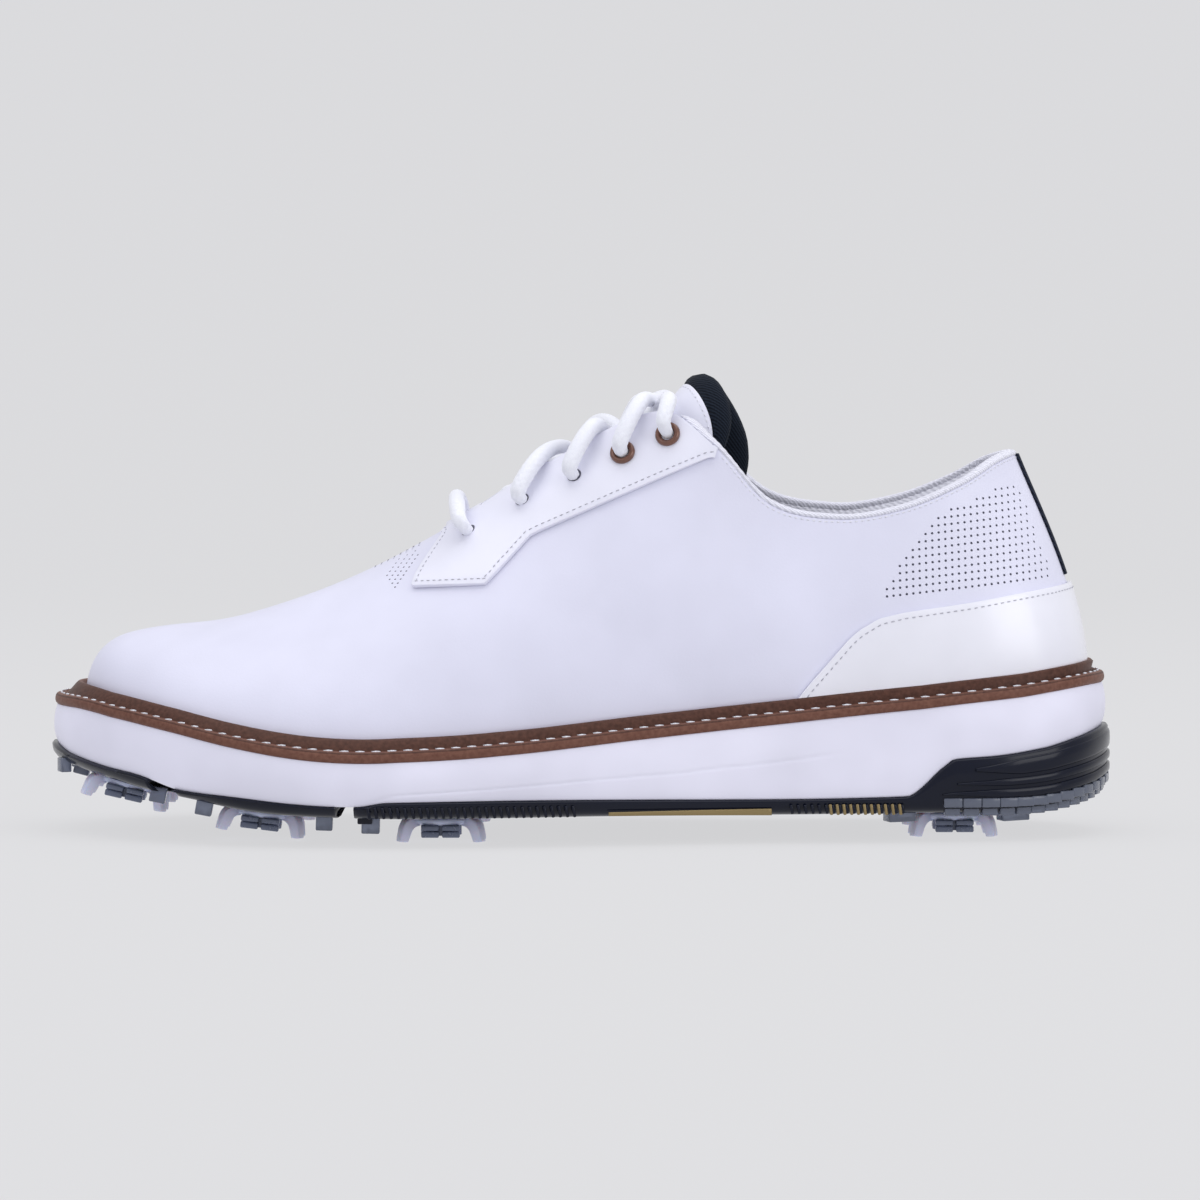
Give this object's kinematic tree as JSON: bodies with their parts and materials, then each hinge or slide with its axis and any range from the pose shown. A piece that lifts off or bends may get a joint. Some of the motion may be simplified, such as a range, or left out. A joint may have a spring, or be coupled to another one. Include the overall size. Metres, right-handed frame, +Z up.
{
  "type": "golf shoe",
  "caption": "Low laced golf shoe for the left foot: white leather upper, brown storm welt, thick foam midsole and a segmented outsole with twist-in soft spikes.",
  "frame": {"origin": "on the ground, at the middle of the shoe's bounding box", "axes": "+X toward the heel along the length, -X the toe, -Y the outer side of the left foot, +Z up"},
  "size_m": [0.3013, 0.1112, 0.1302],
  "materials": {
    "outsole_tpu": "translucent glossy TPU moulding",
    "shank_gold": "gold glass-fibre plate",
    "midsole_eva": "white moulded EVA foam",
    "welt_brown": "brown welt strip",
    "thread": "waxed white thread",
    "board": "stitched fibre board",
    "sockliner_cloth": "navy cloth on foam",
    "leather_white": "smooth white leather",
    "leather_gloss": "glossy coated overlay",
    "lining_cloth": "navy mesh lining",
    "stiffener": "thermoplastic stiffener",
    "backing": "foam-backed cloth",
    "strip_navy": "navy woven strip",
    "padding": "open-cell foam",
    "tongue_navy": "padded navy twill",
    "eyelet_brown": "brown enamelled brass",
    "lace_white": "round woven polyester",
    "tip_clear": "clear film",
    "socket_grey": "moulded nylon",
    "hub_grey": "smoky hard TPU",
    "leg_lavender": "soft translucent TPU"
  },
  "bodies": {
    "shoe": {"toe_pod": "outsole_tpu", "forefoot_pod": "outsole_tpu", "main_outsole": "outsole_tpu", "shank": "shank_gold", "midsole": "midsole_eva", "welt": "welt_brown", "welt_thread": "thread", "lasting_board": "board", "sockliner": "sockliner_cloth", "upper": "leather_white", "lining": "lining_cloth", "toe_puff": "stiffener", "heel_counter": "stiffener", "quarter_backing": "backing", "heel_overlay": "leather_gloss", "eyestay": "leather_white", "heel_strip": "strip_navy", "collar_padding": "padding", "collar_binding": "leather_white", "eyelets": "eyelet_brown", "lace": "lace_white", "lace_tips": "tip_clear", "spike_sockets": "socket_grey"},
    "tongue": {"tongue_face": "leather_white", "tongue_padding": "tongue_navy"},
    "spike_1": {"spike_hub_1": "hub_grey", "spike_legs_1": "leg_lavender"},
    "spike_2": {"spike_hub_2": "hub_grey", "spike_legs_2": "leg_lavender"},
    "spike_3": {"spike_hub_3": "hub_grey", "spike_legs_3": "leg_lavender"},
    "spike_4": {"spike_hub_4": "hub_grey", "spike_legs_4": "leg_lavender"},
    "spike_5": {"spike_hub_5": "hub_grey", "spike_legs_5": "leg_lavender"},
    "spike_6": {"spike_hub_6": "hub_grey", "spike_legs_6": "leg_lavender"},
    "spike_7": {"spike_hub_7": "hub_grey", "spike_legs_7": "leg_lavender"},
    "spike_8": {"spike_hub_8": "hub_grey", "spike_legs_8": "leg_lavender"}
  },
  "joints": [
    {"name": "tongue_lift", "type": "hinge", "parent": "shoe", "child": "tongue", "pos_m": [-0.038, 0.0025, 0.079], "axis": [0, 1, 0], "range_deg": [0, 12], "stiffness_Nm_per_rad": 0.3},
    {"name": "spike_1_turn", "type": "hinge", "parent": "shoe", "child": "spike_1", "pos_m": [-0.127, -0.009, 0.0162], "axis": [0.225, 0, 0.9744], "range_deg": [0, 60]},
    {"name": "spike_2_turn", "type": "hinge", "parent": "shoe", "child": "spike_2", "pos_m": [-0.127, 0.023, 0.0162], "axis": [0.225, 0, 0.9744], "range_deg": [0, 60]},
    {"name": "spike_3_turn", "type": "hinge", "parent": "shoe", "child": "spike_3", "pos_m": [-0.088, -0.026, 0.0092], "axis": [0.1219, 0, 0.9925], "range_deg": [0, 60]},
    {"name": "spike_4_turn", "type": "hinge", "parent": "shoe", "child": "spike_4", "pos_m": [-0.088, 0.031, 0.0092], "axis": [0.1219, 0, 0.9925], "range_deg": [0, 60]},
    {"name": "spike_5_turn", "type": "hinge", "parent": "shoe", "child": "spike_5", "pos_m": [-0.038, -0.031, 0.0074], "axis": [0, 0, 1], "range_deg": [0, 60]},
    {"name": "spike_6_turn", "type": "hinge", "parent": "shoe", "child": "spike_6", "pos_m": [-0.038, 0.031, 0.0074], "axis": [0, 0, 1], "range_deg": [0, 60]},
    {"name": "spike_7_turn", "type": "hinge", "parent": "shoe", "child": "spike_7", "pos_m": [0.106, -0.014, 0.0074], "axis": [0, 0, 1], "range_deg": [0, 60]},
    {"name": "spike_8_turn", "type": "hinge", "parent": "shoe", "child": "spike_8", "pos_m": [0.106, 0.021, 0.0074], "axis": [0, 0, 1], "range_deg": [0, 60]}
  ]
}
